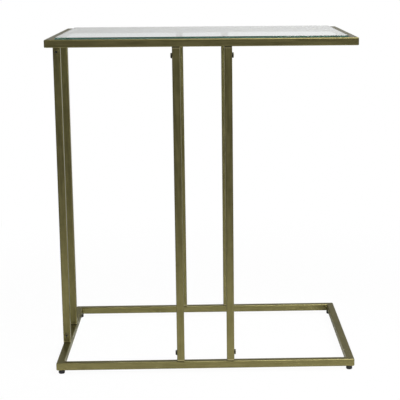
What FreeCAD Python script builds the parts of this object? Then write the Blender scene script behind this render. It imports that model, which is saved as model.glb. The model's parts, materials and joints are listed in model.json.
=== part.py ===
import FreeCAD, Part
import math
import os

import Sketcher
from FreeCAD import Placement, Rotation, Vector

# Side table of square steel tube with an inset glass top, in millimetres.
# The origin is on the floor under the middle of the table. +X runs along the length towards the
# open end, the front is at -Y and +Z is up.

# Driving dimensions
SIZES = {
    # whole table
    "table_width": 600,
    "table_depth": 410,
    "frame_height": 658,
    # square tube
    "tube_side": 15,
    "tube_wall": 1,
    "tube_corner": 2,
    "tube_inner_corner": 0.5,
    "mitre_dressing": 0.5,
    # uprights
    "middle_spacing": 100,
    "left_spacing": 130,
    "end_deburr": 0.3,
    # stubs that the uprights slide over
    "stub_length": 30,
    "stub_play": 0.2,
    "stub_lead": 1.5,
    # button-head bolts
    "bolt_drop": 17,
    "bolt_diameter": 6,
    "bolt_end_gap": 2.8,
    "bolt_head_diameter": 10.5,
    "bolt_head_height": 3.3,
    "bolt_hole_play": 0.3,
    "thread_play": 0.05,
    "socket_across": 4,
    "socket_depth": 2,
    # glass pane
    "glass_thickness": 5,
    "glass_gap": 3.5,
    "glass_proud": 3,
    "glass_corner": 3,
    "glass_arris": 0.6,
    # tabs and bumpers under the glass
    "tab_width": 25,
    "tab_reach": 17,
    "tab_thickness": 3,
    "tab_corner": 4,
    "tab_spacing_long": 360,
    "tab_spacing_short": 190,
    "bumper_diameter": 9,
    "bumper_height": 1.5,
    "bumper_round": 0.6,
    # screw-in feet
    "foot_height": 8.5,
    "foot_diameter": 12.5,
    "foot_round": 1.8,
    "stud_diameter": 6,
    "stud_headroom": 1,
    "stud_lead": 0.8,
    "flange_diameter": 9,
    "flange_height": 1.6,
    "flange_play": 0.05,
    # threaded bushes in the base corners
    "bush_diameter": 8,
    "bush_headroom": 3,
    "bush_play": 0.05,
    "bush_corner_play": 1.5,
}

# How much of a bolt head's height is rounded over
HEAD_ROUND_SHARE = 0.8
# How far half a quarter turn reaches along X, and along Y, as a share of its radius
DIAGONAL_SHARE = math.sqrt(0.5)
# Lengths and directions that differ by less than this share are the same
NEAR_SHARE = 1e-6

# Turn about Z that faces a piece made for the front to each side of the table
SIDE_TURNS = {"front": 0, "rear": 180, "left": -90, "right": 90}
# Turn about Z that faces a bolt made for the -X side to each side of the table
BOLT_TURNS = {"left": 0, "front": 90, "right": 180, "rear": 270}

X_AXIS = Vector(1, 0, 0)
Y_AXIS = Vector(0, 1, 0)
Z_AXIS = Vector(0, 0, 1)


class Size:
    """A length together with the sheet expression that gives it."""

    def __init__(self, value, text):
        self.value = value
        self.text = text

    def _join(self, other, sign, value):
        text = other.text if isinstance(other, Size) else repr(other)
        return Size(value, f"({self.text} {sign} {text})")

    def __add__(self, other):
        return self._join(other, "+", self.value + other.value)

    def __sub__(self, other):
        return self._join(other, "-", self.value - other.value)

    def __mul__(self, share):
        return self._join(share, "*", self.value * share)

    def __truediv__(self, share):
        return self._join(share, "/", self.value / share)

    def __neg__(self):
        return self * -1


doc = FreeCAD.newDocument("side_table")
sheet = doc.addObject("Spreadsheet::Sheet", "sizes")
size = {}
for row, (alias, number) in enumerate(SIZES.items(), start=1):
    sheet.set(f"A{row}", alias.replace("_", " "))
    sheet.set(f"B{row}", str(number))
    sheet.setAlias(f"B{row}", alias)
    size[alias] = Size(number, f"sizes.{alias}")
doc.recompute()

ZERO = Size(0, "0")
TUBE = size["tube_side"]
HALF_TUBE = TUBE / 2
MITRE_ROUND = size["tube_corner"] + size["mitre_dressing"]
HALF_WIDTH = size["table_width"] / 2
HALF_DEPTH = size["table_depth"] / 2
BASE_TOP = size["foot_height"] + TUBE
RAIL_TOP = size["foot_height"] + size["frame_height"]
RAIL_UNDERSIDE = RAIL_TOP - TUBE
UPRIGHT_LENGTH = RAIL_UNDERSIDE - BASE_TOP
GLASS_UNDERSIDE = RAIL_TOP + size["glass_proud"] - size["glass_thickness"]
TAB_TOP = GLASS_UNDERSIDE - size["bumper_height"]
BASE_HEADROOM = TUBE - size["tube_wall"]
FOOT_INSET = (
    BASE_HEADROOM - size["bush_diameter"] / 2 * DIAGONAL_SHARE - size["bush_corner_play"]
)


# Helpers for bound objects

def bind(target, path, length):
    target.setExpression(path, length.text)


def place(piece, x, y, z, rotation=Rotation()):
    piece.Placement = Placement(Vector(x.value, y.value, z.value), rotation)
    for axis, length in zip("xyz", (x, y, z)):
        bind(piece, f".Placement.Base.{axis}", length)


def about_z(turn):
    return Rotation(Z_AXIS, turn)


def new_body(label):
    body = doc.addObject("PartDesign::Body", label)
    body.Label = label
    return body


def new_sketch(body, role, name, lift=ZERO):
    sketch = body.newObject("Sketcher::SketchObject", f"{body.Name}_{name}")
    plane = next(f for f in body.Origin.OriginFeatures if f.Role == role)
    sketch.AttachmentSupport = [(plane, "")]
    sketch.MapMode = "FlatFace"
    bind(sketch, "AttachmentOffset.Base.z", lift)
    return sketch


def hold(sketch, curve, end, kind, length):
    index = sketch.addConstraint(Sketcher.Constraint(kind, -1, 1, curve, end, length.value))
    bind(sketch, f"Constraints[{index}]", length)


def hold_point(sketch, curve, end, x, y):
    hold(sketch, curve, end, "DistanceX", x)
    hold(sketch, curve, end, "DistanceY", y)


def arc_between(start, end, centre):
    """Anticlockwise arc from one point to another about a centre."""
    circle = Part.Circle(centre, Z_AXIS, (start - centre).Length)
    angles = [math.atan2(p.y - centre.y, p.x - centre.x) for p in (start, end)]
    return Part.ArcOfCircle(circle, *angles)


def draw_outline(sketch, points, centres=None):
    """Closed anticlockwise outline through the points. The stretch that ends at a point is straight,
    or an arc about the centre that is given for the point's number."""
    centres = centres or {}
    corners = [Vector(x.value, y.value, 0) for x, y in points]
    curves = []
    for i, corner in enumerate(corners):
        if i in centres:
            x, y = centres[i]
            shape = arc_between(corners[i - 1], corner, Vector(x.value, y.value, 0))
        else:
            shape = Part.LineSegment(corners[i - 1], corner)
        curves.append(sketch.addGeometry(shape))
    for i, curve in enumerate(curves):
        sketch.addConstraint(Sketcher.Constraint("Coincident", curves[i - 1], 2, curve, 1))
        if i in centres:
            hold_point(sketch, curve, 3, *centres[i])
            hold(sketch, curve, 2, "DistanceX", points[i][0])
        else:
            hold_point(sketch, curve, 2, *points[i])


def draw_rectangle(sketch, low, high):
    draw_outline(sketch, [low, (high[0], low[1]), high, (low[0], high[1])])


def draw_circle(sketch, x, y, diameter):
    shape = Part.Circle(Vector(x.value, y.value, 0), Z_AXIS, diameter.value / 2)
    curve = sketch.addGeometry(shape)
    index = sketch.addConstraint(Sketcher.Constraint("Diameter", curve, diameter.value))
    bind(sketch, f"Constraints[{index}]", diameter)
    hold_point(sketch, curve, 3, x, y)


def add_pad(body, sketch, length, side="One side"):
    pad = body.newObject("PartDesign::Pad", f"{sketch.Name}_pad")
    pad.Profile = sketch
    pad.SideType = side
    bind(pad, "Length", length)
    doc.recompute()
    return pad


def add_pocket(body, sketch, length=None, side="One side", reverse=False):
    before = body.Shape.Volume
    pocket = body.newObject("PartDesign::Pocket", f"{sketch.Name}_pocket")
    pocket.Profile = sketch
    pocket.SideType = side
    pocket.Reversed = reverse
    if length is None:
        pocket.Type = "ThroughAll"
    else:
        bind(pocket, "Length", length)
    doc.recompute()
    if not body.Shape.Volume < before:
        raise RuntimeError(f"{pocket.Name} removed nothing")
    return pocket


def add_turned(body, sketch):
    turned = body.newObject("PartDesign::Revolution", f"{sketch.Name}_turned")
    turned.Profile = sketch
    turned.ReferenceAxis = (sketch, ["V_Axis"])
    turned.Angle = 360
    doc.recompute()
    return turned


def add_edge_feature(body, kind, names, length):
    base = body.Tip
    feature = body.newObject(f"PartDesign::{kind}", f"{body.Name}_{kind.lower()}_{len(body.Group)}")
    feature.Base = (base, names)
    bind(feature, "Radius" if kind == "Fillet" else "Size", length)
    doc.recompute()
    return feature


def edges_along(body, axis, chosen=lambda middle: True):
    """Names of the straight edges parallel to an axis whose middle is chosen."""
    names = []
    for number, edge in enumerate(body.Shape.Edges, start=1):
        if edge.Curve.TypeId != "Part::GeomLine":
            continue
        parallel = abs(edge.tangentAt(edge.FirstParameter).dot(axis)) > 1 - NEAR_SHARE
        if parallel and chosen(edge.CenterOfMass):
            names.append(f"Edge{number}")
    return names


def round_edges_at(body, height, radius):
    """Names of the full circles of one radius at one height."""
    near = radius.value * NEAR_SHARE
    names = []
    for number, edge in enumerate(body.Shape.Edges, start=1):
        if edge.Curve.TypeId != "Part::GeomCircle":
            continue
        same_height = abs(edge.CenterOfMass.z - height.value) < near
        if same_height and abs(edge.Curve.Radius - radius.value) < near:
            names.append(f"Edge{number}")
    return names


def faces_across(body, axis):
    """Names of the flat faces square to an axis."""
    names = []
    for number, face in enumerate(body.Shape.Faces, start=1):
        if face.Surface.TypeId != "Part::GeomPlane":
            continue
        if abs(face.normalAt(0, 0).dot(axis)) > 1 - NEAR_SHARE:
            names.append(f"Face{number}")
    return names


# Square tube along its own X axis, with square ends or with mitres that leave the -Y side longest

def draw_mitred_plan(plan, half):
    """Trapezium whose two sharp corners are dressed round as far as the mitre."""
    inner = half - TUBE
    straight = half - MITRE_ROUND
    centre_y = MITRE_ROUND - HALF_TUBE
    tip = straight + MITRE_ROUND * DIAGONAL_SHARE
    tip_y = centre_y - MITRE_ROUND * DIAGONAL_SHARE
    points = [
        (straight, -HALF_TUBE), (tip, tip_y), (inner, HALF_TUBE),
        (-inner, HALF_TUBE), (-tip, tip_y), (-straight, -HALF_TUBE),
    ]
    draw_outline(plan, points, {1: (straight, centre_y), 5: (-straight, centre_y)})


def square_tube(label, length, mitred):
    body = new_body(label)
    half = length / 2
    plan = new_sketch(body, "XY_Plane", "plan")
    if mitred:
        draw_mitred_plan(plan, half)
    else:
        draw_rectangle(plan, (-half, -HALF_TUBE), (half, HALF_TUBE))
    add_pad(body, plan, TUBE, "Symmetric")
    add_edge_feature(body, "Fillet", edges_along(body, X_AXIS), size["tube_corner"])
    bore_half = HALF_TUBE - size["tube_wall"]
    bore = new_sketch(body, "YZ_Plane", "bore")
    draw_rectangle(bore, (-bore_half, -bore_half), (bore_half, bore_half))
    add_pocket(body, bore, side="Symmetric")

    near = bore_half.value * NEAR_SHARE

    def on_bore_corner(middle):
        return all(abs(abs(v) - bore_half.value) < near for v in (middle.y, middle.z))

    inner_edges = edges_along(body, X_AXIS, on_bore_corner)
    add_edge_feature(body, "Fillet", inner_edges, size["tube_inner_corner"])
    return body


def drill_one_wall(body, places, diameter, name, lower):
    """Round holes through the tube wall on the +Z side, or on the -Z side when lower is true."""
    sketch = new_sketch(body, "XY_Plane", name)
    for x, y in places:
        draw_circle(sketch, x, y, diameter)
    add_pocket(body, sketch, reverse=not lower)


# Top frame and base frame, four mitred tubes each

def frame_tube(label, side, height, foot_holes):
    across = side in ("front", "rear")
    length = size["table_width"] if across else size["table_depth"]
    body = square_tube(label, length, mitred=True)
    if foot_holes:
        reach = length / 2 - FOOT_INSET
        inset = FOOT_INSET - HALF_TUBE
        hole = size["bush_diameter"] + size["bush_play"] * 2
        drill_one_wall(body, [(-reach, inset), (reach, inset)], hole, "foot_holes", lower=True)
    out = (HALF_DEPTH if across else HALF_WIDTH) - HALF_TUBE
    sign = -1 if side in ("front", "left") else 1
    x, y = (ZERO, out * sign) if across else (out * sign, ZERO)
    place(body, x, y, height, about_z(SIDE_TURNS[side]))
    return body


# Uprights, bored for one bolt near each end, and the places where they stand

def upright(label, x, y, bolt_side):
    body = square_tube(label, UPRIGHT_LENGTH, mitred=False)
    reach = UPRIGHT_LENGTH / 2 - size["bolt_drop"]
    hole = size["bolt_diameter"] + size["bolt_hole_play"] * 2
    drill_one_wall(body, [(-reach, ZERO), (reach, ZERO)], hole, "bolt_holes", lower=False)
    add_edge_feature(body, "Chamfer", faces_across(body, X_AXIS), size["end_deburr"])
    standing = about_z(BOLT_TURNS[bolt_side]) * Rotation(Y_AXIS, -90)
    place(body, x, y, BASE_TOP + UPRIGHT_LENGTH / 2, standing)
    return body


UPRIGHT_PLACES = {
    "left_front": (HALF_TUBE - HALF_WIDTH, -(size["left_spacing"] / 2), "front"),
    "left_rear": (HALF_TUBE - HALF_WIDTH, size["left_spacing"] / 2, "rear"),
    "middle_front_left": (-(size["middle_spacing"] / 2), HALF_TUBE - HALF_DEPTH, "left"),
    "middle_front_right": (size["middle_spacing"] / 2, HALF_TUBE - HALF_DEPTH, "right"),
    "middle_rear_left": (-(size["middle_spacing"] / 2), HALF_DEPTH - HALF_TUBE, "left"),
    "middle_rear_right": (size["middle_spacing"] / 2, HALF_DEPTH - HALF_TUBE, "right"),
}


# Stub of square bar, welded on by its end at x = 0 and tapped across for the bolt

def stub(label, x, y, bolt_side, upper):
    body = new_body(label)
    half = HALF_TUBE - size["tube_wall"] - size["stub_play"]
    plan = new_sketch(body, "XY_Plane", "plan")
    draw_rectangle(plan, (ZERO, -half), (size["stub_length"], half))
    add_pad(body, plan, half * 2, "Symmetric")
    tapped = new_sketch(body, "XY_Plane", "tapped")
    hole = size["bolt_diameter"] + size["thread_play"] * 2
    draw_circle(tapped, size["bolt_drop"], ZERO, hole)
    add_pocket(body, tapped, side="Symmetric")
    free_end = max(
        faces_across(body, X_AXIS), key=lambda name: body.Shape.getElement(name).CenterOfMass.x
    )
    add_edge_feature(body, "Chamfer", [free_end], size["stub_lead"])
    tilt = Rotation(Y_AXIS, 90 if upper else -90)
    height = RAIL_UNDERSIDE if upper else BASE_TOP
    place(body, x, y, height, about_z(BOLT_TURNS[bolt_side]) * tilt)
    return body


# Button-head bolt, turned about Z with its head above z = 0 and a hexagon socket

def bolt_pattern():
    body = new_body("bolt_pattern")
    shank = size["bolt_diameter"] / 2
    length = TUBE - size["tube_wall"] - size["stub_play"] - size["bolt_end_gap"]
    head = size["bolt_head_diameter"] / 2
    profile = new_sketch(body, "XZ_Plane", "profile")
    draw_outline(profile, [
        (ZERO, -length), (shank, -length), (shank, ZERO), (head, ZERO),
        (head, size["bolt_head_height"]), (ZERO, size["bolt_head_height"]),
    ])
    add_turned(body, profile)
    rim = round_edges_at(body, size["bolt_head_height"], head)
    add_edge_feature(body, "Fillet", rim, size["bolt_head_height"] * HEAD_ROUND_SHARE)
    socket = new_sketch(body, "XY_Plane", "socket", size["bolt_head_height"])
    corner = size["socket_across"] / math.sqrt(3)
    angles = [math.radians(60 * i) for i in range(6)]
    draw_outline(socket, [(corner * math.cos(a), corner * math.sin(a)) for a in angles])
    add_pocket(body, socket, size["socket_depth"])
    return body


def bolt_group(label, pattern, height):
    copies = []
    for name, (x, y, bolt_side) in UPRIGHT_PLACES.items():
        copy = doc.addObject("App::Link", f"{label}_{name}")
        copy.LinkedObject = pattern
        sign = -1 if bolt_side in ("front", "left") else 1
        if bolt_side in ("front", "rear"):
            y = y + HALF_TUBE * sign
        else:
            x = x + HALF_TUBE * sign
        facing = about_z(BOLT_TURNS[bolt_side]) * Rotation(Y_AXIS, -90)
        place(copy, x, y, height, facing)
        copies.append(copy)
    group = doc.addObject("Part::Compound", label)
    group.Label = label
    group.Links = copies
    return group


# Glass pane, with rounded corners and arrised edges

def glass_pane():
    body = new_body("glass_top")
    inset = TUBE + size["glass_gap"]
    half_x = HALF_WIDTH - inset
    half_y = HALF_DEPTH - inset
    plan = new_sketch(body, "XY_Plane", "plan")
    draw_rectangle(plan, (-half_x, -half_y), (half_x, half_y))
    add_pad(body, plan, size["glass_thickness"])
    add_edge_feature(body, "Fillet", edges_along(body, Z_AXIS), size["glass_corner"])
    add_edge_feature(body, "Chamfer", faces_across(body, Z_AXIS), size["glass_arris"])
    place(body, ZERO, ZERO, GLASS_UNDERSIDE)
    return body


# Tabs welded to the inner faces of the rails, and the clear bumpers on them

def tab(label, side, along):
    body = new_body(label)
    half = size["tab_width"] / 2
    plan = new_sketch(body, "XY_Plane", "plan")
    draw_rectangle(plan, (-half, ZERO), (half, size["tab_reach"]))
    add_pad(body, plan, size["tab_thickness"])
    half_reach = size["tab_reach"] / 2
    corners = edges_along(body, Z_AXIS, lambda middle: middle.y > half_reach.value)
    add_edge_feature(body, "Fillet", corners, size["tab_corner"])
    x, y = tab_root(side, along, ZERO)
    place(body, x, y, TAB_TOP - size["tab_thickness"], about_z(SIDE_TURNS[side]))
    return body


def tab_root(side, along, inwards):
    """A point on a tab's middle line, so far in from the inner face of its rail."""
    across = side in ("front", "rear")
    out = (HALF_DEPTH if across else HALF_WIDTH) - TUBE - inwards
    out = out * (-1 if side in ("front", "left") else 1)
    return (along, out) if across else (out, along)


TAB_PLACES = {}
for side in SIDE_TURNS:
    spacing = size["tab_spacing_long"] if side in ("front", "rear") else size["tab_spacing_short"]
    ends = ("left", "right") if side in ("front", "rear") else ("front", "rear")
    TAB_PLACES[f"{side}_{ends[0]}"] = (side, -(spacing / 2))
    TAB_PLACES[f"{side}_{ends[1]}"] = (side, spacing / 2)


def bumpers():
    body = new_body("glass_bumpers")
    middle = (size["glass_gap"] + size["tab_reach"]) / 2
    plan = new_sketch(body, "XY_Plane", "plan")
    for side, along in TAB_PLACES.values():
        draw_circle(plan, *tab_root(side, along, middle), size["bumper_diameter"])
    add_pad(body, plan, size["bumper_height"])
    rims = round_edges_at(body, size["bumper_height"], size["bumper_diameter"] / 2)
    add_edge_feature(body, "Fillet", rims, size["bumper_round"])
    place(body, ZERO, ZERO, TAB_TOP)
    return body


# Screw-in feet: a moulded pad on a flanged stud, and the bushes in the base corners

FOOT_X = HALF_WIDTH - FOOT_INSET
FOOT_Y = HALF_DEPTH - FOOT_INSET
FOOT_PLACES = {
    "front_left": (-FOOT_X, -FOOT_Y),
    "front_right": (FOOT_X, -FOOT_Y),
    "rear_left": (-FOOT_X, FOOT_Y),
    "rear_right": (FOOT_X, FOOT_Y),
}


def foot_pad(label, x, y):
    body = new_body(label)
    outer = size["foot_diameter"] / 2
    recess = size["flange_diameter"] / 2 + size["flange_play"]
    floor = size["foot_height"] - size["flange_height"]
    profile = new_sketch(body, "XZ_Plane", "profile")
    draw_outline(profile, [
        (ZERO, ZERO), (outer, ZERO), (outer, size["foot_height"]), (recess, size["foot_height"]),
        (recess, floor), (ZERO, floor),
    ])
    add_turned(body, profile)
    add_edge_feature(body, "Fillet", round_edges_at(body, ZERO, outer), size["foot_round"])
    place(body, x, y, ZERO)
    return body


def foot_stud(label, x, y):
    body = new_body(label)
    shank = size["stud_diameter"] / 2
    flange = size["flange_diameter"] / 2
    tip = size["flange_height"] + BASE_HEADROOM - size["stud_headroom"]
    profile = new_sketch(body, "XZ_Plane", "profile")
    draw_outline(profile, [
        (ZERO, ZERO), (flange, ZERO), (flange, size["flange_height"]),
        (shank, size["flange_height"]), (shank, tip), (ZERO, tip),
    ])
    add_turned(body, profile)
    add_edge_feature(body, "Chamfer", round_edges_at(body, tip, shank), size["stud_lead"])
    place(body, x, y, size["foot_height"] - size["flange_height"])
    return body


def foot_bushes():
    body = new_body("foot_bushes")
    plan = new_sketch(body, "XY_Plane", "plan")
    for x, y in FOOT_PLACES.values():
        draw_circle(plan, x, y, size["bush_diameter"])
        draw_circle(plan, x, y, size["stud_diameter"] + size["thread_play"] * 2)
    add_pad(body, plan, BASE_HEADROOM - size["bush_headroom"])
    place(body, ZERO, ZERO, size["foot_height"])
    return body


# The whole table

pieces = []
for side in SIDE_TURNS:
    pieces.append(frame_tube(f"top_{side}_rail", side, RAIL_TOP - HALF_TUBE, foot_holes=False))
for side in SIDE_TURNS:
    pieces.append(frame_tube(f"base_{side}_tube", side, BASE_TOP - HALF_TUBE, foot_holes=True))
for name, (x, y, bolt_side) in UPRIGHT_PLACES.items():
    pieces.append(upright(f"{name}_upright", x, y, bolt_side))
    pieces.append(stub(f"{name}_upper_stub", x, y, bolt_side, upper=True))
    pieces.append(stub(f"{name}_lower_stub", x, y, bolt_side, upper=False))
pattern = bolt_pattern()
pieces.append(bolt_group("upper_bolts", pattern, RAIL_UNDERSIDE - size["bolt_drop"]))
pieces.append(bolt_group("lower_bolts", pattern, BASE_TOP + size["bolt_drop"]))
for name, (side, along) in TAB_PLACES.items():
    pieces.append(tab(f"{name}_glass_tab", side, along))
pieces.append(bumpers())
pieces.append(glass_pane())
for name, (x, y) in FOOT_PLACES.items():
    pieces.append(foot_pad(f"{name}_foot_pad", x, y))
    pieces.append(foot_stud(f"{name}_foot_stud", x, y))
pieces.append(foot_bushes())
doc.recompute()

# Every object is sound before anything is written
for item in doc.Objects:
    if {"Invalid", "Error"} & set(item.State):
        raise RuntimeError(f"{item.Label} failed: {item.State}")
for piece in pieces:
    if piece.Shape.isNull() or not piece.Shape.isValid():
        raise RuntimeError(f"{piece.Label} has no valid shape")

os.makedirs("parts", exist_ok=True)
for piece in pieces:
    piece.Shape.exportStep(f"parts/{piece.Label}.step")
    print(f"{piece.Label}: {len(piece.Shape.Solids)} solid, {piece.Shape.Volume:.0f} cubic mm")
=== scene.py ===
# %% [markdown]
# # A side table of square tube with an inset glass top
# The construction comes from CAD as a fixed frame: every tube, stub, tab, bolt and foot is already in
# its place, in metres, with the origin on the floor under the middle of the table. This lesson gives
# the pieces their finishes, models the small hardware again with finer detail, and sets up the studio.

import json
import math

import bpy
from mathutils import Matrix, Vector


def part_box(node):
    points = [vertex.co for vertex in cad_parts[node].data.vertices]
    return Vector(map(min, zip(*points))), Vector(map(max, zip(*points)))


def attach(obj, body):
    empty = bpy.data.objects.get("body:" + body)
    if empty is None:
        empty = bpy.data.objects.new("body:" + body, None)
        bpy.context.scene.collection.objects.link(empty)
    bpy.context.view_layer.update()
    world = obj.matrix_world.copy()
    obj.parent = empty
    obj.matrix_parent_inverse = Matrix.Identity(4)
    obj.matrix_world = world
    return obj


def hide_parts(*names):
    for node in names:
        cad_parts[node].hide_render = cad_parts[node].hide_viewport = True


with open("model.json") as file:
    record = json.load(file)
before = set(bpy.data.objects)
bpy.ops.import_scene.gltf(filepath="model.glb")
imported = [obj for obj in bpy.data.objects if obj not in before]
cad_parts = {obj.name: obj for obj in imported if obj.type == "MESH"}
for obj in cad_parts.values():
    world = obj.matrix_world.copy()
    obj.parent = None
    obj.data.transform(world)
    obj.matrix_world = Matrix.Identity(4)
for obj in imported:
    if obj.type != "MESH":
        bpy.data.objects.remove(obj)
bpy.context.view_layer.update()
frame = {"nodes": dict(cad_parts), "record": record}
MM = 0.001
scene = bpy.context.scene


# %% [markdown]
# ## Small helpers for node trees
# A finish or a repeated shape in Blender is a tree of nodes. Written out in full, each node takes four
# or five lines, so these helpers add a node, feed its sockets with links or constants, and return the
# output that the next node needs. They work in shader trees and in geometry trees alike.

# %% Node helpers
def feed(tree, socket, value):
    """Links a socket to another node's output, or sets it to a constant."""
    if isinstance(value, bpy.types.NodeSocket):
        tree.links.new(value, socket)
    else:
        socket.default_value = value


def add_node(tree, kind, settings=None, **inputs):
    """Adds a node, with settings for its own properties and values or links for its named sockets."""
    node = tree.nodes.new(kind)
    for key, value in (settings or {}).items():
        setattr(node, key, value)
    for key, value in inputs.items():
        feed(tree, node.inputs[key.replace("_", " ")], value)
    return node


def calc(tree, operation, *values):
    """One sum of a Math node."""
    node = add_node(tree, "ShaderNodeMath", {"operation": operation})
    for socket, value in zip(node.inputs, values):
        feed(tree, socket, value)
    return node.outputs[0]


def product(tree, first, *others):
    """The product of two or more values."""
    for value in others:
        first = calc(tree, "MULTIPLY", first, value)
    return first


def ramp(tree, value, low, high, to_low=0.0, to_high=1.0):
    """A smooth step from one value to another."""
    node = add_node(tree, "ShaderNodeMapRange", {"interpolation_type": "SMOOTHSTEP"}, Value=value)
    for key, number in zip(("From Min", "From Max", "To Min", "To Max"), (low, high, to_low, to_high)):
        feed(tree, node.inputs[key], number)
    return node.outputs["Result"]


def axes(tree, vector):
    """The X, Y and Z of a vector, as three outputs."""
    return add_node(tree, "ShaderNodeSeparateXYZ", Vector=vector).outputs


def new_group(name, kind, inputs, outputs):
    """An empty node group, with the sockets that enter and leave it."""
    group = bpy.data.node_groups.new(name, kind)
    for label, socket_type, value in inputs:
        socket = group.interface.new_socket(label, in_out="INPUT", socket_type=socket_type)
        if value is not None:
            socket.default_value = value
    for label, socket_type in outputs:
        group.interface.new_socket(label, in_out="OUTPUT", socket_type=socket_type)
    entry = group.nodes.new("NodeGroupInput").outputs
    leave = group.nodes.new("NodeGroupOutput").inputs
    return group, entry, leave


print("node helpers are ready")


# %% [markdown]
# ## Effects that several finishes share
# Four effects come back in most of the finishes. The tone of a coating drifts a little from place to
# place. Its surface has a fine grain that breaks up reflections. Tubes are rubbed lighter along their
# rounded edges, which are found here by the normal: on an edge it points along none of the axes.
# Dust settles on what faces up. Each effect is one group, and each finish gives it its own values.

# %% Shared shader groups
NUMBER = "NodeSocketFloat"
DRIFT_RANGE = (0.3, 0.7)
FINE_STEP = 3.7
FINE_HEIGHT = 0.35
SPECKLE_RANGE = (0.45, 0.75)
EDGE_RANGE = (0.04, 0.26)
RUBBED_PATCHES = (0.32, 0.62, 0.35, 1.0)
DUST_FACING = (0.6, 1.0)
DUST_FLECKS = (0.35, 0.8)


def effect_group(name, vectors, numbers, outputs):
    """An empty shader group with vector inputs, number inputs and number outputs."""
    inputs = [(label, "NodeSocketVector", None) for label in vectors]
    inputs += [(label, NUMBER, value) for label, value in numbers.items()]
    return new_group(name, "ShaderNodeTree", inputs, [(label, NUMBER) for label in outputs])


def noise(tree, position, scale, detail):
    """The grey value of a noise texture."""
    return add_node(tree, "ShaderNodeTexNoise", Vector=position, Scale=scale, Detail=detail).outputs[0]


def build_tone_drift():
    group, entry, leave = effect_group(
        "tone_drift", ["Position"], {"Scale": 12.0, "Detail": 3.0}, ["Share"])
    grey = noise(group, entry["Position"], entry["Scale"], entry["Detail"])
    feed(group, leave["Share"], ramp(group, grey, *DRIFT_RANGE))
    return group


def build_fine_grain():
    group, entry, leave = effect_group("fine_grain", ["Position"], {"Scale": 900.0}, ["Height", "Speckle"])
    coarse = noise(group, entry["Position"], entry["Scale"], detail=2.0)
    fine_scale = product(group, entry["Scale"], FINE_STEP)
    fine = noise(group, entry["Position"], fine_scale, detail=1.0)
    feed(group, leave["Height"], calc(group, "MULTIPLY_ADD", fine, FINE_HEIGHT, coarse))
    feed(group, leave["Speckle"], ramp(group, fine, *SPECKLE_RANGE))
    return group


def build_rubbed_edges():
    group, entry, leave = effect_group("rubbed_edges", ["Normal", "Position"], {"Amount": 0.5}, ["Mask"])
    x, y, z = (calc(group, "ABSOLUTE", output) for output in axes(group, entry["Normal"]))
    along_axis = calc(group, "MAXIMUM", calc(group, "MAXIMUM", x, y), z)
    edge = ramp(group, calc(group, "SUBTRACT", 1.0, along_axis), *EDGE_RANGE)
    patches = noise(group, entry["Position"], scale=34.0, detail=4.0)
    patches = ramp(group, patches, *RUBBED_PATCHES)
    feed(group, leave["Mask"], product(group, edge, patches, entry["Amount"]))
    return group


def build_settled_dust():
    group, entry, leave = effect_group("settled_dust", ["Normal", "Position"], {"Amount": 0.1}, ["Mask"])
    facing_up = ramp(group, axes(group, entry["Normal"])[2], *DUST_FACING)
    flecks = noise(group, entry["Position"], scale=160.0, detail=5.0)
    flecks = ramp(group, flecks, *DUST_FLECKS)
    feed(group, leave["Mask"], product(group, facing_up, flecks, entry["Amount"]))
    return group


TONE_DRIFT = build_tone_drift()
FINE_GRAIN = build_fine_grain()
RUBBED_EDGES = build_rubbed_edges()
SETTLED_DUST = build_settled_dust()
print("shared groups:", ", ".join(group.name for group in bpy.data.node_groups))


# %% [markdown]
# ## The start of every finish
# A finish is a material around one Principled shader. These helpers make it, place the shared groups in
# it and blend two colours. The patterns read Object coordinates: every piece sits at the origin with
# its place in its mesh, so they are the table's own coordinates, and two pieces never look alike.

# %% Material helpers
def new_material(name):
    """A material, its tree, its Principled shader and its object coordinates."""
    material = bpy.data.materials.new(name)
    material.use_nodes = True
    tree = material.node_tree
    place = tree.nodes.new("ShaderNodeTexCoord")
    return material, tree, tree.nodes["Principled BSDF"], place.outputs["Object"]


def surface_normal(tree):
    """The direction of the surface, from the node that new_material placed."""
    return tree.nodes["Texture Coordinate"].outputs["Normal"]


def use_group(tree, group, **inputs):
    """Places a group in a material and returns its outputs."""
    return add_node(tree, "ShaderNodeGroup", {"node_tree": group}, **inputs).outputs


def drift(tree, position, scale, detail):
    """The share of the lighter tone, which drifts from place to place."""
    return use_group(tree, TONE_DRIFT, Position=position, Scale=scale, Detail=detail)["Share"]


def dust_on(tree, position, amount):
    """The mask of the dust that lies on what faces up."""
    normal = surface_normal(tree)
    return use_group(tree, SETTLED_DUST, Normal=normal, Position=position, Amount=amount)["Mask"]


def blend_colours(tree, share, first, second):
    """A colour between two others. A Mix node for colours has its sockets at 0, 6 and 7."""
    node = add_node(tree, "ShaderNodeMix", {"data_type": "RGBA"})
    for socket, value in zip((node.inputs[0], node.inputs[6], node.inputs[7]), (share, first, second)):
        feed(tree, socket, value)
    return node.outputs[2]


def add_bump(tree, shader, height, strength, distance):
    """Gives the shader a fine relief."""
    bump = add_node(tree, "ShaderNodeBump", Height=height, Strength=strength, Distance=distance)
    feed(tree, shader.inputs["Normal"], bump.outputs["Normal"])


print("material helpers are ready")
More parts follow.
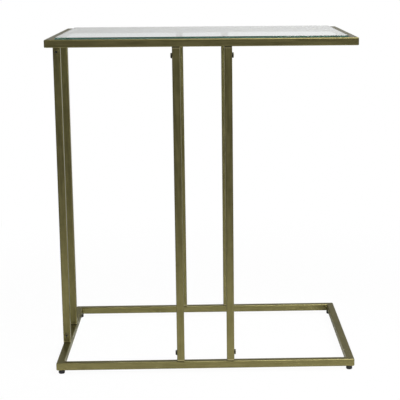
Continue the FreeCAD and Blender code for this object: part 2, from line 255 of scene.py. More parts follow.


# %% [markdown]
# ## Antique brass paint on the tubes
# The frame has a metallic coating in an olive brass tone, satin, darker where the pigment is thick and
# lighter along rubbed edges. A flat colour would look like plastic, so the tone drifts in streaks that
# follow the tube, as a sprayed and wiped coating does. The streaks are noise squeezed by a Mapping
# node, and tubes run along X, Y or Z, so one function makes the paint for each direction. Only the
# uprights run along Z. Where they meet a rail or a base tube, their paint has a dark line of painted
# shade in the joint, and beside it a ring of painted highlight where the tube's end catches the light.
# All uprights end at the same heights, so one box gives both ends.

# %% Frame paint
PAINT_DARK = (0.148, 0.130, 0.050, 1.0)
PAINT_LIGHT = (0.290, 0.259, 0.109, 1.0)
# Rubbed edges take this colour, and so does the ring of painted highlight at the uprights' ends.
PAINT_RUBBED_AND_HIGHLIGHT = (0.42, 0.37, 0.19, 1.0)
PAINT_EDGE_TINT = (0.60, 0.60, 0.58, 1.0)
PAINT_METALLIC = 0.92
PAINT_ROUGHNESS = (0.29, 0.38)
PAINT_BUMP = (0.16, 0.12 * MM)
STREAK_SQUEEZE = 0.06
LEAST_LIGHT = 0.18
PATCH_LIGHT = 0.15
CLOUD_LIGHT = 0.11
STREAK_LIGHT = 0.30
SPECKLE_SHARE = 0.4
RUBBED_AMOUNT = 0.15
DUST_TONE = (0.36, 0.35, 0.31, 1.0)
DUST_ON_PAINT = 0.10
# Painted shade in the joint at each end of an upright, and a ring of painted highlight beside it.
JOINT_SHADE_TONE = (0.020, 0.018, 0.010, 1.0)
JOINT_SHADE_LINE = (0.9 * MM, 1.5 * MM)
JOINT_SHADE_SHARE = 0.85
HIGHLIGHT_RING_START = (1.2 * MM, 1.8 * MM)
HIGHLIGHT_RING_END = (3.0 * MM, 4.2 * MM)
HIGHLIGHT_RING_SHARE = 0.8


def add_joint_shade_and_highlight(tree, tone, position):
    """Painted shade as a dark line at both ends of an upright, and a ring of painted highlight beside it."""
    low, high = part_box("left_front_upright")
    height = axes(tree, position)[2]
    above_foot = calc(tree, "SUBTRACT", height, low.z)
    below_head = calc(tree, "SUBTRACT", high.z, height)
    from_end = calc(tree, "MINIMUM", above_foot, below_head)
    highlight_ring = product(tree, ramp(tree, from_end, *HIGHLIGHT_RING_START), ramp(tree, from_end, *HIGHLIGHT_RING_END, HIGHLIGHT_RING_SHARE, 0.0))
    tone = blend_colours(tree, highlight_ring, tone, PAINT_RUBBED_AND_HIGHLIGHT)
    return blend_colours(tree, ramp(tree, from_end, *JOINT_SHADE_LINE, JOINT_SHADE_SHARE, 0.0), tone, JOINT_SHADE_TONE)


def frame_paint(axis):
    material, tree, shader, position = new_material(f"antique_brass_paint_{axis.lower()}")
    squeeze = [STREAK_SQUEEZE if name == axis else 1.0 for name in "XYZ"]
    along = add_node(tree, "ShaderNodeMapping", Vector=position, Scale=squeeze).outputs[0]
    streaks = drift(tree, along, scale=260.0, detail=4.0)
    clouds = drift(tree, position, scale=9.0, detail=2.0)
    patches = drift(tree, position, scale=60.0, detail=6.0)
    share = LEAST_LIGHT
    for marks, weight in ((patches, PATCH_LIGHT), (clouds, CLOUD_LIGHT), (streaks, STREAK_LIGHT)):
        share = calc(tree, "MULTIPLY_ADD", marks, weight, share)
    tone = blend_colours(tree, share, PAINT_DARK, PAINT_LIGHT)
    rubbed = use_group(tree, RUBBED_EDGES, Normal=surface_normal(tree), Position=position,
                       Amount=RUBBED_AMOUNT)["Mask"]
    tone = blend_colours(tree, rubbed, tone, PAINT_RUBBED_AND_HIGHLIGHT)
    # The uprights get painted shade in their joints and a painted highlight ring beside them.
    if axis == "Z":
        tone = add_joint_shade_and_highlight(tree, tone, position)
    dust = dust_on(tree, position, DUST_ON_PAINT)
    feed(tree, shader.inputs["Base Color"], blend_colours(tree, dust, tone, DUST_TONE))
    grain = use_group(tree, FINE_GRAIN, Position=position, Scale=1100.0)
    uneven = calc(tree, "MULTIPLY_ADD", grain["Speckle"], SPECKLE_SHARE, streaks)
    feed(tree, shader.inputs["Roughness"], ramp(tree, uneven, 0.0, 1.0 + SPECKLE_SHARE, *PAINT_ROUGHNESS))
    feed(tree, shader.inputs["Metallic"], calc(tree, "SUBTRACT", PAINT_METALLIC, dust))
    shader.inputs["Specular Tint"].default_value = PAINT_EDGE_TINT
    add_bump(tree, shader, grain["Height"], *PAINT_BUMP)
    return material


PAINT = {axis: frame_paint(axis) for axis in "XYZ"}
print("paint:", ", ".join(material.name for material in PAINT.values()))


# %% [markdown]
# ## Bronze, zinc and moulded plastic
# The bolts are plated in a dark bronze, the studs and bushes in zinc, and the feet and the bolts'
# washers are black moulded plastic. Each has its own grain: plating is faintly cloudy, zinc has a
# spangle, and a moulding has an even matte texture with a little bloom.

# %% Hardware finishes
BRONZE_TONES = ((0.135, 0.118, 0.049, 1.0), (0.22, 0.193, 0.082, 1.0))
BRONZE_ROUGHNESS = (0.34, 0.44)
BRONZE_METALLIC = 0.9
BRONZE_BUMP = (0.12, 0.05 * MM)
ZINC_TONES = ((0.46, 0.47, 0.49, 1.0), (0.68, 0.68, 0.69, 1.0))
ZINC_SPANGLE = 0.5
ZINC_CLOUDS = 0.4
ZINC_ROUGHNESS = (0.24, 0.36)
ZINC_BUMP = (0.1, 0.04 * MM)
MOULDING_TONES = ((0.006, 0.006, 0.007, 1.0), (0.016, 0.016, 0.017, 1.0))
MOULDING_ROUGHNESS = (0.42, 0.56)
MOULDING_BUMP = (0.25, 0.08 * MM)
DUST_ON_MOULDING = 0.12


def dark_bronze():
    material, tree, shader, position = new_material("dark_bronze_plating")
    clouds = drift(tree, position, scale=420.0, detail=3.0)
    feed(tree, shader.inputs["Base Color"], blend_colours(tree, clouds, *BRONZE_TONES))
    grain = use_group(tree, FINE_GRAIN, Position=position, Scale=2600.0)
    feed(tree, shader.inputs["Roughness"], ramp(tree, grain["Speckle"], 0.0, 1.0, *BRONZE_ROUGHNESS))
    shader.inputs["Metallic"].default_value = BRONZE_METALLIC
    add_bump(tree, shader, grain["Height"], *BRONZE_BUMP)
    return material


def bright_zinc():
    material, tree, shader, position = new_material("bright_zinc_plating")
    spangle = add_node(tree, "ShaderNodeTexVoronoi", Vector=position, Scale=700.0).outputs["Distance"]
    clouds = drift(tree, position, scale=240.0, detail=2.0)
    share = calc(tree, "MULTIPLY_ADD", spangle, ZINC_SPANGLE, product(tree, clouds, ZINC_CLOUDS))
    feed(tree, shader.inputs["Base Color"], blend_colours(tree, share, *ZINC_TONES))
    feed(tree, shader.inputs["Roughness"], ramp(tree, clouds, 0.0, 1.0, *ZINC_ROUGHNESS))
    shader.inputs["Metallic"].default_value = 1.0
    grain = use_group(tree, FINE_GRAIN, Position=position, Scale=3000.0)
    add_bump(tree, shader, grain["Height"], *ZINC_BUMP)
    return material


def black_moulding():
    material, tree, shader, position = new_material("black_moulded_plastic")
    bloom = drift(tree, position, scale=300.0, detail=3.0)
    dust = dust_on(tree, position, DUST_ON_MOULDING)
    tone = blend_colours(tree, bloom, *MOULDING_TONES)
    feed(tree, shader.inputs["Base Color"], blend_colours(tree, dust, tone, DUST_TONE))
    grain = use_group(tree, FINE_GRAIN, Position=position, Scale=2200.0)
    feed(tree, shader.inputs["Roughness"], ramp(tree, grain["Speckle"], 0.0, 1.0, *MOULDING_ROUGHNESS))
    add_bump(tree, shader, grain["Height"], *MOULDING_BUMP)
    return material


BRONZE = dark_bronze()
ZINC = bright_zinc()
MOULDING = black_moulding()
print("hardware finishes:", BRONZE.name, ZINC.name, MOULDING.name)


# %% [markdown]
# ## Clear glass and clear bumpers
# Clear glass looks colourless through its thickness and dark green at its edge, because a sight line
# along the pane runs through hundreds of millimetres of it. Volume Absorption gives exactly that: a
# weak green absorption that only shows over a long way. The edges of a pane are ground, so what doesn't
# face up or down is rougher, and the edge shows as one soft line. Shadow rays pass through as they do
# through a real pane, so the glass doesn't darken the floor. Faint smears change its roughness a little.

# %% Glass and bumper finishes
GLASS_TONES = ((0.985, 1.0, 0.995, 1.0), (0.98, 0.996, 0.991, 1.0))
GLASS_IOR = 1.52
GLASS_ABSORPTION_TONE = (0.42, 0.61, 0.57, 1.0)
GLASS_ABSORPTION = 10.5
SMEAR_ROUGHNESS = 0.002
GROUND_EDGE_ROUGHNESS = 0.12
GROUND_EDGE_FACING = (0.3, 0.98)
LAMP_LIGHT_TONE = (0.93, 0.97, 0.95, 1.0)
BUMPER_TONES = ((0.93, 0.93, 0.92, 1.0), (0.84, 0.85, 0.84, 1.0))
BUMPER_ROUGHNESS = (0.12, 0.3)
BUMPER_IOR = 1.46
BUMPER_TRANSMISSION = 0.85


def mix_shaders(tree, share, first, second):
    """A shader between two others."""
    node = tree.nodes.new("ShaderNodeMixShader")
    for socket, value in zip(node.inputs, (share, first, second)):
        feed(tree, socket, value)
    return node.outputs[0]


def clear_glass():
    material, tree, shader, position = new_material("clear_float_glass")
    smears = drift(tree, position, scale=14.0, detail=6.0)
    facing_up = calc(tree, "ABSOLUTE", axes(tree, surface_normal(tree))[2])
    ground = ramp(tree, facing_up, *GROUND_EDGE_FACING, GROUND_EDGE_ROUGHNESS, 0.0)
    feed(tree, shader.inputs["Roughness"], calc(tree, "MULTIPLY_ADD", smears, SMEAR_ROUGHNESS, ground))
    feed(tree, shader.inputs["Base Color"], blend_colours(tree, smears, *GLASS_TONES))
    shader.inputs["IOR"].default_value = GLASS_IOR
    shader.inputs["Transmission Weight"].default_value = 1.0
    let_through = add_node(tree, "ShaderNodeBsdfTransparent", Color=LAMP_LIGHT_TONE)
    for_lamps = tree.nodes.new("ShaderNodeLightPath").outputs["Is Shadow Ray"]
    surface = mix_shaders(tree, for_lamps, shader.outputs[0], let_through.outputs[0])
    inside = add_node(tree, "ShaderNodeVolumeAbsorption", Color=GLASS_ABSORPTION_TONE,
                      Density=GLASS_ABSORPTION)
    output = tree.nodes["Material Output"]
    feed(tree, output.inputs["Surface"], surface)
    feed(tree, output.inputs["Volume"], inside.outputs[0])
    return material


def clear_bumper():
    material, tree, shader, position = new_material("clear_soft_plastic")
    haze = drift(tree, position, scale=500.0, detail=2.0)
    feed(tree, shader.inputs["Base Color"], blend_colours(tree, haze, *BUMPER_TONES))
    feed(tree, shader.inputs["Roughness"], ramp(tree, haze, 0.0, 1.0, *BUMPER_ROUGHNESS))
    shader.inputs["IOR"].default_value = BUMPER_IOR
    shader.inputs["Transmission Weight"].default_value = BUMPER_TRANSMISSION
    return material


GLASS = clear_glass()
BUMPER = clear_bumper()
print("clear finishes:", GLASS.name, BUMPER.name)


# %% [markdown]
# ## Dress the CAD pieces
# The tubes, tabs, glass, bumpers, bushes and foot pads already have their true shape, so they only
# take a finish. The record says which slot each node belongs to. A tube's paint depends on which way
# it runs, and that is simply the longest side of its box.

# %% Give each node its finish
SLOT_OF = {part["node"]: part["material_slot"] for part in frame["record"]["subparts"]}
FINISHES = {"bolt_bronze": BRONZE, "zinc_steel": ZINC, "foot_plastic": MOULDING,
            "clear_glass": GLASS, "clear_bumper": BUMPER}


def longest_axis(node):
    low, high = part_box(node)
    sides = high - low
    return "XYZ"[max(range(3), key=lambda i: sides[i])]


for name, node in frame["nodes"].items():
    slot = SLOT_OF[name]
    finish = PAINT[longest_axis(name)] if slot == "frame_paint" else FINISHES[slot]
    node.data.materials.clear()
    node.data.materials.append(finish)
print("dressed nodes:", len(frame["nodes"]))


# %% [markdown]
# ## Trees for turned hardware
# Bolts, washers, studs and weld beads repeat, so each is one Geometry Nodes tree. A tree starts from a
# plain cylinder and moves its points by a formula of their height, their distance from the axis and
# their angle around it, which is enough for a dome, a chamfer or a thread. Booleans then join shapes
# into one closed shell, or cut one out of another.

# %% Shape helpers
GEOMETRY = "NodeSocketGeometry"
FULL_TURN = 2.0 * math.pi


def cylinder(tree, sides, radius, depth, rows=1, rings=1):
    """A closed cylinder around the origin, with rows along its side and rings on its ends."""
    node = add_node(tree, "GeometryNodeMeshCylinder", {"fill_type": "TRIANGLE_FAN"}, Vertices=sides,
                    Side_Segments=rows, Fill_Segments=rings, Radius=radius, Depth=depth)
    return node.outputs["Mesh"]


def half_of(tree, length):
    return calc(tree, "MULTIPLY", length, 0.5)


def point_place(tree):
    """The height of a point, and its two sideways coordinates."""
    x, y, z = axes(tree, tree.nodes.new("GeometryNodeInputPosition").outputs[0])
    return z, x, y


def reshape(tree, geometry, x, y, factor, height):
    """Moves each point in or out from the axis by a factor, and to a new height."""
    place = add_node(tree, "ShaderNodeCombineXYZ", X=calc(tree, "MULTIPLY", x, factor),
                     Y=calc(tree, "MULTIPLY", y, factor), Z=height)
    moved = add_node(tree, "GeometryNodeSetPosition", Geometry=geometry, Position=place.outputs[0])
    return moved.outputs[0]


def lift(tree, geometry, height, turn=0.0):
    """Turns a shape about X and raises it."""
    rise = add_node(tree, "ShaderNodeCombineXYZ", Z=height).outputs[0]
    return add_node(tree, "GeometryNodeTransform", Geometry=geometry, Translation=rise,
                    Rotation=(turn, 0.0, 0.0)).outputs[0]


def unite(tree, *shapes):
    """Joins shapes into one closed shell."""
    node = add_node(tree, "GeometryNodeMeshBoolean", {"operation": "UNION", "solver": "EXACT"})
    for shape in shapes:
        feed(tree, node.inputs["Mesh 2"], shape)
    return node.outputs["Mesh"]


def cut_out(tree, shape, tool):
    """Takes one shape out of another."""
    return add_node(tree, "GeometryNodeMeshBoolean", {"operation": "DIFFERENCE", "solver": "EXACT"},
                    Mesh_1=shape, Mesh_2=tool).outputs["Mesh"]


print("shape helpers are ready")


# %% [markdown]
# ## From a tree to a piece
# A tree gets its seats as a mesh of loose points, each with the direction in which the piece faces
# there. It sets a copy on each seat, makes the copies real and gives them their finish. Reading the
# result back as a plain mesh then leaves a piece with no modifier, which any program can take.

# %% Seat helpers
SHARP_ANGLE = math.radians(38.0)


def seated_tree(name, sizes):
    """An empty tree that takes seats, a finish and named sizes."""
    inputs = [("Geometry", GEOMETRY, None), ("Finish", "NodeSocketMaterial", None)]
    inputs += [(label, NUMBER, 0.0) for label in sizes]
    return new_group(name, "GeometryNodeTree", inputs, [("Geometry", GEOMETRY)])


def set_on_seats(tree, entry, leave, shape):
    """Smooths a shape, sets it on the seats with its axis along their direction, and finishes it."""
    angle = tree.nodes.new("GeometryNodeInputMeshEdgeAngle").outputs["Unsigned Angle"]
    sharp = calc(tree, "GREATER_THAN", angle, SHARP_ANGLE)
    smooth = add_node(tree, "GeometryNodeSetShadeSmooth", {"domain": "FACE"}, Geometry=shape)
    creased = add_node(tree, "GeometryNodeSetShadeSmooth", {"domain": "EDGE"}, Geometry=smooth.outputs[0],
                       Selection=sharp, Shade_Smooth=False)
    facing = add_node(tree, "GeometryNodeInputNamedAttribute", {"data_type": "FLOAT_VECTOR"}, Name="facing")
    turned = add_node(tree, "FunctionNodeAlignRotationToVector", {"axis": "Z"}, Vector=facing.outputs[0])
    placed = add_node(tree, "GeometryNodeInstanceOnPoints", Points=entry["Geometry"],
                      Instance=creased.outputs[0], Rotation=turned.outputs[0])
    real = add_node(tree, "GeometryNodeRealizeInstances", Geometry=placed.outputs[0])
    finished = add_node(tree, "GeometryNodeSetMaterial", Geometry=real.outputs[0], Material=entry["Finish"])
    feed(tree, leave["Geometry"], finished.outputs[0])


def grow(tree, name, seats, finish, sizes):
    """Runs a tree on its seats and returns a piece with a plain mesh."""
    mesh = bpy.data.meshes.new(name)
    mesh.from_pydata([place for place, facing in seats], [], [])
    directions = mesh.attributes.new("facing", "FLOAT_VECTOR", "POINT")
    for item, (place, facing) in zip(directions.data, seats):
        item.vector = facing
    piece = bpy.data.objects.new(name, mesh)
    scene.collection.objects.link(piece)
    modifier = piece.modifiers.new(name, "NODES")
    modifier.node_group = tree
    sockets = {item.name: item.identifier for item in tree.interface.items_tree if item.in_out == "INPUT"}
    for label, value in {"Finish": finish, **sizes}.items():
        modifier[sockets[label]] = value
    evaluated = piece.evaluated_get(bpy.context.evaluated_depsgraph_get())
    grown = bpy.data.meshes.new_from_object(evaluated)
    piece.modifiers.remove(modifier)
    piece.data = grown
    return piece


print("seat helpers are ready")


# %% [markdown]
# ## A threaded rod
# A screw thread is a groove that climbs by one pitch in each turn. On a cylinder with enough rows, the
# groove's depth is a triangle wave of height divided by pitch, less the share of a turn, so one formula
# cuts the whole thread. The end is chamfered at 45 degrees, as a rolled thread's is. The rod is a group
# of its own because the bolts and the foot studs both have one.

# %% Thread
THREAD_SIDES = 32
THREAD_ROWS = 7.0
THREAD_DEPTH_SHARE = 0.54


def build_threaded_rod():
    tree, entry, leave = new_group(
        "threaded_rod", "GeometryNodeTree",
        [(label, NUMBER, 0.0) for label in ("Diameter", "Length", "Pitch", "Lead")],
        [("Geometry", GEOMETRY)],
    )
    radius = half_of(tree, entry["Diameter"])
    half = half_of(tree, entry["Length"])
    turns = calc(tree, "DIVIDE", entry["Length"], entry["Pitch"])
    rod = cylinder(tree, THREAD_SIDES, radius, entry["Length"], product(tree, turns, THREAD_ROWS))
    height, x, y = point_place(tree)
    share_of_turn = calc(tree, "DIVIDE", calc(tree, "ARCTAN2", y, x), FULL_TURN)
    climbed = calc(tree, "SUBTRACT", calc(tree, "DIVIDE", height, entry["Pitch"]), share_of_turn)
    wave = product(tree, calc(tree, "PINGPONG", climbed, 0.5), 2.0 * THREAD_DEPTH_SHARE)
    crest = calc(tree, "SUBTRACT", radius, product(tree, wave, entry["Pitch"]))
    to_tip = calc(tree, "SUBTRACT", half, height)
    chamfer = calc(tree, "ADD", calc(tree, "SUBTRACT", radius, entry["Lead"]), to_tip)
    factor = calc(tree, "DIVIDE", calc(tree, "MINIMUM", crest, chamfer), radius)
    shaped = reshape(tree, rod, x, y, factor, calc(tree, "ADD", height, half))
    feed(tree, leave["Geometry"], shaped)
    return tree


def threaded_rod(tree, entry, length):
    """A rod of the tree's own shank sizes."""
    return add_node(tree, "GeometryNodeGroup", {"node_tree": THREADED_ROD}, Diameter=entry["Shank Diameter"],
                    Pitch=entry["Pitch"], Lead=entry["Lead"], Length=length).outputs[0]


THREADED_ROD = build_threaded_rod()
print("thread group:", THREADED_ROD.name)


# %% [markdown]
# ## Furniture bolts
# Each upright is held at both ends by a furniture bolt through its outer face. Its head is a low crown
# in bronze. The cylinder's end rings are spread by a sine and raised by a cosine, which is an ellipse
# and makes the crown. The hexagon socket is cut out of it and the threaded shank is joined to it, so
# that a bolt is one closed shell.

# %% Bolt tree
BOLT_SIZES = {"Head Diameter": 10.5 * MM, "Washer Height": 2.3 * MM, "Rim Height": 0.3 * MM,
              "Crown Height": 0.7 * MM, "Socket Across": 4.0 * MM, "Socket Depth": 2.8 * MM,
              "Shank Diameter": 5.9 * MM, "Shank Length": 10.0 * MM, "Pitch": 1.0 * MM, "Lead": 0.7 * MM}
HEAD_SIDES = 48
HEAD_RINGS = 12
HEXAGON = 6


def build_bolt_tree():
    """A crowned head with a hexagon socket, on a threaded shank that points the other way."""
    tree, entry, leave = seated_tree("furniture_bolts", BOLT_SIZES)
    radius = half_of(tree, entry["Head Diameter"])
    disc = cylinder(tree, HEAD_SIDES, radius, entry["Rim Height"], rings=HEAD_RINGS)
    height, x, y = point_place(tree)
    from_axis = calc(tree, "SQRT", calc(tree, "MULTIPLY_ADD", x, x, product(tree, y, y)))
    ratio = calc(tree, "DIVIDE", from_axis, radius)
    sweep = product(tree, ratio, FULL_TURN / 4.0)
    spread = calc(tree, "DIVIDE", calc(tree, "SINE", sweep), ratio)
    arch = calc(tree, "COSINE", sweep)
    crown = calc(tree, "MULTIPLY_ADD", arch, entry["Crown Height"], entry["Rim Height"])
    level = product(tree, crown, calc(tree, "GREATER_THAN", height, 0.0))
    head = reshape(tree, disc, x, y, spread, calc(tree, "ADD", level, entry["Washer Height"]))
    rim_top = calc(tree, "ADD", entry["Washer Height"], entry["Rim Height"])
    rod = threaded_rod(tree, entry, calc(tree, "ADD", entry["Shank Length"], rim_top))
    whole = unite(tree, head, lift(tree, rod, rim_top, FULL_TURN / 2.0))
    # A hexagon's corner is its width across the flats divided by the root of 3 from its middle, and a
    # key with its middle at the top of the head is twice as long as the socket is deep.
    corner = calc(tree, "DIVIDE", entry["Socket Across"], math.sqrt(3.0))
    key = cylinder(tree, HEXAGON, corner, product(tree, entry["Socket Depth"], 2.0))
    top = calc(tree, "ADD", rim_top, entry["Crown Height"])
    set_on_seats(tree, entry, leave, cut_out(tree, whole, lift(tree, key, top)))
    return tree


BOLT_TREE = build_bolt_tree()
print("bolt tree:", len(BOLT_TREE.nodes), "nodes")


# %% [markdown]
# ## Washers, and the seats of the bolts
# A black nylon washer under each head keeps it off the paint: from the side the bolts look black, from
# the front bronze. It is a cylinder with its rims drawn in. The seats come from the uprights' own
# boxes: the middle of the outer face, at the height of the CAD bolts.

# %% Bolts and washers
WASHER_SIZES = {"Diameter": 10.4 * MM, "Height": 2.3 * MM, "Round": 0.35 * MM}
WASHER_ROWS = 8
END_POWER = 6.0
OUTWARD = {
    "left_front": Vector((0, -1, 0)), "left_rear": Vector((0, 1, 0)),
    "middle_front_left": Vector((-1, 0, 0)), "middle_front_right": Vector((1, 0, 0)),
    "middle_rear_left": Vector((-1, 0, 0)), "middle_rear_right": Vector((1, 0, 0)),
}


def near_end(tree, height, half):
    """Close to 0 along most of a shape, and 1 at both its ends."""
    share = calc(tree, "DIVIDE", calc(tree, "ABSOLUTE", height), half)
    return calc(tree, "POWER", share, END_POWER)


def build_washer_tree():
    tree, entry, leave = seated_tree("bolt_washers", WASHER_SIZES)
    radius = half_of(tree, entry["Diameter"])
    half = half_of(tree, entry["Height"])
    puck = cylinder(tree, HEAD_SIDES, radius, entry["Height"], WASHER_ROWS)
    height, x, y = point_place(tree)
    drawn_in = product(tree, near_end(tree, height, half), entry["Round"])
    factor = calc(tree, "SUBTRACT", 1.0, calc(tree, "DIVIDE", drawn_in, radius))
    washer = reshape(tree, puck, x, y, factor, calc(tree, "ADD", height, half))
    set_on_seats(tree, entry, leave, washer)
    return tree


def reach(low, high, direction):
    """How far a box reaches from its middle in a direction along one of the axes."""
    return ((high - low) / 2.0).dot(Vector(map(abs, direction)))


def bolt_seats(node):
    """The place on the outer face of each upright, and the direction in which it faces."""
    low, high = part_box(node)
    level = (low.z + high.z) / 2.0
    seats = []
    for upright, facing in OUTWARD.items():
        low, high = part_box(f"{upright}_upright")
        face = (low + high) / 2.0 + facing * reach(low, high, facing)
        seats.append((Vector((face.x, face.y, level)), facing))
    return seats


WASHER_TREE = build_washer_tree()
for row in ("upper", "lower"):
    seats = bolt_seats(f"{row}_bolts")
    bolts = grow(BOLT_TREE, f"{row}_furniture_bolts", seats, BRONZE, BOLT_SIZES)
    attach(bolts, "frame")
    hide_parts(f"{row}_bolts")
    washers = grow(WASHER_TREE, f"{row}_bolt_washers", seats, MOULDING, WASHER_SIZES)
    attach(washers, "frame")
    print(bolts.name, len(bolts.data.polygons), "faces,", washers.name, len(washers.data.polygons), "faces")


# %% [markdown]
# ## Foot studs
# A foot is screwed in or out to level the table, so its stud is seen when the foot is let down. The
# thread has to be real there. A flange at its lower end is moulded into the pad.

# %% Studs
STUD_SIZES = {"Flange Diameter": 8.9 * MM, "Flange Height": 1.6 * MM, "Shank Diameter": 5.9 * MM,
              "Shank Length": 12.0 * MM, "Pitch": 1.0 * MM, "Lead": 0.8 * MM}
CORNERS = ("front_left", "front_right", "rear_left", "rear_right")
UP = Vector((0, 0, 1))


def build_stud_tree():
    """A flange with a threaded shank, which starts in the middle of the flange."""
    tree, entry, leave = seated_tree("foot_studs", STUD_SIZES)
    radius = half_of(tree, entry["Flange Diameter"])
    sunk = half_of(tree, entry["Flange Height"])
    flange = lift(tree, cylinder(tree, HEAD_SIDES, radius, entry["Flange Height"]), sunk)
    rod = threaded_rod(tree, entry, calc(tree, "ADD", entry["Shank Length"], sunk))
    set_on_seats(tree, entry, leave, unite(tree, flange, lift(tree, rod, sunk)))
    return tree


STUD_TREE = build_stud_tree()
for corner in CORNERS:
    node = f"{corner}_foot_stud"
    low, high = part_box(node)
    seat = Vector(((low.x + high.x) / 2.0, (low.y + high.y) / 2.0, low.z))
    stud = grow(STUD_TREE, f"{corner}_threaded_stud", [(seat, UP)], ZINC, STUD_SIZES)
    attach(stud, f"{corner}_foot")
    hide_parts(node)
print("studs:", len(CORNERS), "with", len(stud.data.polygons), "faces each")


# %% [markdown]
# ## Weld beads under the glass tabs
# The tabs that carry the glass are welded to the rails from below. A bead is a thin ridge along the
# corner between tab and rail, with the even ripples that a weld pool leaves. The rod's points move in
# and out by a wave along its length, and its ends are drawn in.

# %% Weld beads
BEAD_SIZES = {"Length": 22.0 * MM, "Radius": 1.8 * MM, "Ripple Pitch": 1.9 * MM}
BEAD_SEAT = 0.9 * MM
BEAD_SIDES = 18
BEAD_ROWS = 72
RIPPLE_SHARE = 0.07
BEAD_END_SHARE = 0.3
INWARD = {"front": Vector((0, 1, 0)), "rear": Vector((0, -1, 0)),
          "left": Vector((1, 0, 0)), "right": Vector((-1, 0, 0))}


def build_bead_tree():
    tree, entry, leave = seated_tree("weld_beads", BEAD_SIZES)
    rod = cylinder(tree, BEAD_SIDES, entry["Radius"], entry["Length"], BEAD_ROWS)
    height, x, y = point_place(tree)
    ripples = calc(tree, "DIVIDE", height, entry["Ripple Pitch"])
    wave = calc(tree, "SINE", product(tree, ripples, FULL_TURN))
    ripple = calc(tree, "MULTIPLY_ADD", wave, RIPPLE_SHARE, 1.0 - RIPPLE_SHARE)
    to_end = near_end(tree, height, half_of(tree, entry["Length"]))
    drawn_in = calc(tree, "MULTIPLY_ADD", to_end, BEAD_END_SHARE - 1.0, 1.0)
    bead = reshape(tree, rod, x, y, product(tree, ripple, drawn_in), height)
    set_on_seats(tree, entry, leave, bead)
    return tree


def bead_seat(tab):
    """The corner between a tab and its rail, and the direction along it."""
    low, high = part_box(tab)
    inward = INWARD[tab.split("_")[0]]
    root = (low + high) / 2.0 - inward * (reach(low, high, inward) - BEAD_SEAT)
    return Vector((root.x, root.y, low.z - BEAD_SEAT)), inward.cross(UP)


tabs = [name for name in frame["nodes"] if name.endswith("_glass_tab")]
beads = grow(build_bead_tree(), "tab_weld_beads", [bead_seat(tab) for tab in tabs], PAINT["X"], BEAD_SIZES)
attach(beads, "frame")
print(beads.name, "under", len(tabs), "tabs")


# %% [markdown]
# ## The studio floor
# The floor explains the look of the real tubes: low down they mirror a pale sheet close by, and high up
# the far end of the floor, so the uprights darken towards the top. The sheet lies under the table and in
# front of it, and fades into floor that is painted darker, as painted shade for the dim room that the
# tubes mirror. The camera and rays through the glass see it almost white, with a faint shadow near the
# table, and reflections see white floor behind the table.

# %% Floor
FLOOR_HALF = 15.0
SHEET_TONE = (0.80, 0.80, 0.80, 1.0)
# Painted shade: away from the sheet the floor is darker, for the dim room that the tubes mirror.
PAINTED_SHADE_FLOOR_TONE = (0.20, 0.205, 0.25, 1.0)
SHEET_FRONT = (-1.9, -0.5)
SHEET_SIDE = (0.4, 1.1)
SHEET_REAR = (-0.1, 0.5)
SHEET_REAR_SHARE = 0.7
WHITE_REAR = (0.4, 1.4)
WHITE_EDGE = (0.4, 1.4)
WHITE_SHARE = 0.965


def ray_kinds(tree):
    """1 for camera rays and rays through glass, and 1 for rays from a reflection."""
    path = tree.nodes.new("ShaderNodeLightPath").outputs
    return calc(tree, "MAXIMUM", path["Is Camera Ray"], path["Is Transmission Ray"]), path["Is Glossy Ray"]


def pale_floor():
    material = bpy.data.materials.new("pale_floor")
    material.use_nodes = True
    tree = material.node_tree
    tree.nodes.remove(tree.nodes["Principled BSDF"])
    place = tree.nodes.new("ShaderNodeTexCoord").outputs["Object"]
    across, along, _ = axes(tree, place)
    front = ramp(tree, along, *SHEET_FRONT)
    beside = ramp(tree, calc(tree, "ABSOLUTE", across), *SHEET_SIDE, 1.0, 0.0)
    rear = ramp(tree, along, *SHEET_REAR, 1.0, SHEET_REAR_SHARE)
    tone = blend_colours(tree, product(tree, front, beside, rear), PAINTED_SHADE_FLOOR_TONE, SHEET_TONE)
    matt = add_node(tree, "ShaderNodeBsdfDiffuse", Color=tone)
    white = add_node(tree, "ShaderNodeEmission", Strength=1.0)
    direct, glossy = ray_kinds(tree)
    from_table = add_node(tree, "ShaderNodeVectorMath", {"operation": "LENGTH"}, Vector=place)
    whiter = ramp(tree, from_table.outputs["Value"], *WHITE_EDGE, WHITE_SHARE, 1.0)
    shown = product(tree, direct, whiter)
    mirrored = product(tree, glossy, ramp(tree, along, *WHITE_REAR))
    share = calc(tree, "MAXIMUM", shown, mirrored)
    mixed = mix_shaders(tree, share, matt.outputs[0], white.outputs[0])
    feed(tree, tree.nodes["Material Output"].inputs["Surface"], mixed)
    return material


def build_floor():
    mesh = bpy.data.meshes.new("studio_floor")
    corners = [(x * FLOOR_HALF, y * FLOOR_HALF, 0.0) for x, y in ((-1, -1), (1, -1), (1, 1), (-1, 1))]
    mesh.from_pydata(corners, [], [(0, 1, 2, 3)])
    mesh.materials.append(pale_floor())
    floor = bpy.data.objects.new("studio_floor", mesh)
    scene.collection.objects.link(floor)


build_floor()
print("floor:", 2.0 * FLOOR_HALF, "m wide")


# %% [markdown]
# ## The room around the table
# The background is white for the camera and for what is seen through the glass. Reflections see a pale
# backdrop behind the table and a dim room in front of it, dimmer high up and far out to the sides, and
# a little brighter on the right. The light that falls on matt surfaces is even.

# %% World
ROOM_LEVEL = 0.54
BACKDROP_LEVEL = 0.72
FRONT_TO_REAR = (-0.2, 0.9)
UPPER_START = (0.08, 0.45)
UPPER_SHARE = 0.5
LEFT_TO_RIGHT = (-0.15, 0.12)
LEFT_RIGHT_GAIN = (0.88, 1.12)
BRIGHT_SIDE = 0.1
SIDE_START = (0.25, 0.8)
SIDE_SHARE = 0.65
AMBIENT_LEVEL = 0.32
PLAIN_WHITE = (1.0, 1.0, 1.0, 1.0)


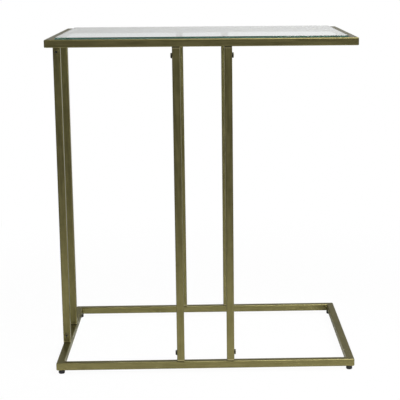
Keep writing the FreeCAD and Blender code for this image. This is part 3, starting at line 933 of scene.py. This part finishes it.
def build_world():
    world = bpy.data.worlds.new("studio")
    world.use_nodes = True
    tree = world.node_tree
    x, y, z = axes(tree, tree.nodes.new("ShaderNodeTexCoord").outputs["Generated"])
    level = ramp(tree, y, *FRONT_TO_REAR, ROOM_LEVEL, BACKDROP_LEVEL)
    upper = ramp(tree, z, *UPPER_START, 1.0, UPPER_SHARE)
    gain = ramp(tree, x, *LEFT_TO_RIGHT, *LEFT_RIGHT_GAIN)
    sideways = calc(tree, "ABSOLUTE", calc(tree, "SUBTRACT", x, BRIGHT_SIDE))
    sides = ramp(tree, sideways, *SIDE_START, 1.0, SIDE_SHARE)
    strengths = (product(tree, level, upper, gain, sides), AMBIENT_LEVEL, 1.0)
    mirrored, ambient, white = (
        add_node(tree, "ShaderNodeBackground", Color=PLAIN_WHITE, Strength=strength).outputs[0]
        for strength in strengths
    )
    direct, glossy = ray_kinds(tree)
    unseen = mix_shaders(tree, glossy, ambient, mirrored)
    shown = mix_shaders(tree, direct, unseen, white)
    feed(tree, tree.nodes["World Output"].inputs["Surface"], shown)
    scene.world = world


build_world()
print("world:", scene.world.name)


# %% [markdown]
# ## Light
# One large soft box hangs over the table, to the right and in front of it. A sight line that skims the
# pane is thrown to and fro between its two faces, and Cycles gives up after 4 glossy bounces by default,
# which leaves the glass grey and grainy. So the scene allows more.

# %% Soft box and bounces
SOFT_BOX_SIDE = 2.4
SOFT_BOX_PLACE = Vector((1.05, -1.0, 2.5))
SOFT_BOX_AIM = Vector((0.0, 0.0, 0.2))
SOFT_BOX_POWER = 94.0
PANE_BOUNCES = 24
ALL_BOUNCES = 32


def build_soft_box():
    lamp = bpy.data.lights.new("soft_box", "AREA")
    lamp.shape = "SQUARE"
    lamp.size = SOFT_BOX_SIDE
    lamp.energy = SOFT_BOX_POWER
    box = bpy.data.objects.new("soft_box", lamp)
    box.location = SOFT_BOX_PLACE
    box.rotation_euler = (SOFT_BOX_AIM - SOFT_BOX_PLACE).to_track_quat("-Z", "Y").to_euler()
    scene.collection.objects.link(box)


build_soft_box()
scene.cycles.max_bounces = ALL_BOUNCES
scene.cycles.glossy_bounces = PANE_BOUNCES
scene.cycles.transmission_bounces = PANE_BOUNCES
print("light: one soft box of", SOFT_BOX_POWER, "W")


# %% [markdown]
# ## The camera
# The photograph was taken from a little above the table top with a long lens, almost square to the
# front. Its place, direction and lens were worked out from the edges of the tubes. The frame is a crop
# whose middle lies beside the lens axis, and a small shift of the lens stands for that.

# %% Camera
CAMERA_PLACE = Vector((0.0005, -2.4924, 0.8069))
CAMERA_YAW = math.radians(1.556)
CAMERA_PITCH = math.radians(11.742)
CAMERA_ROLL = math.radians(-0.386)
CAMERA_SENSOR = 36.0
CAMERA_LENS = 107.39
CAMERA_SHIFT = (-0.09, 0.0275)


def build_camera():
    forward = Vector((
        math.sin(CAMERA_YAW) * math.cos(CAMERA_PITCH),
        math.cos(CAMERA_YAW) * math.cos(CAMERA_PITCH),
        -math.sin(CAMERA_PITCH),
    ))
    level = Vector((math.cos(CAMERA_YAW), -math.sin(CAMERA_YAW), 0.0))
    upright = level.cross(forward)
    right = level * math.cos(CAMERA_ROLL) + upright * math.sin(CAMERA_ROLL)
    up = upright * math.cos(CAMERA_ROLL) - level * math.sin(CAMERA_ROLL)
    turn = Matrix((right, up, -forward)).transposed().to_4x4()
    data = bpy.data.cameras.new("camera")
    data.sensor_width = CAMERA_SENSOR
    data.lens = CAMERA_LENS
    data.shift_x, data.shift_y = CAMERA_SHIFT
    camera = bpy.data.objects.new("camera", data)
    camera.matrix_world = Matrix.Translation(CAMERA_PLACE) @ turn
    scene.collection.objects.link(camera)
    return camera


bpy.context.scene.camera = build_camera()
print("camera at", [round(value, 3) for value in CAMERA_PLACE])


# %% [markdown]
# ## Finish
# Colours are shown as they are, with the Standard view.

# %% Finish
scene.view_settings.view_transform = "Standard"
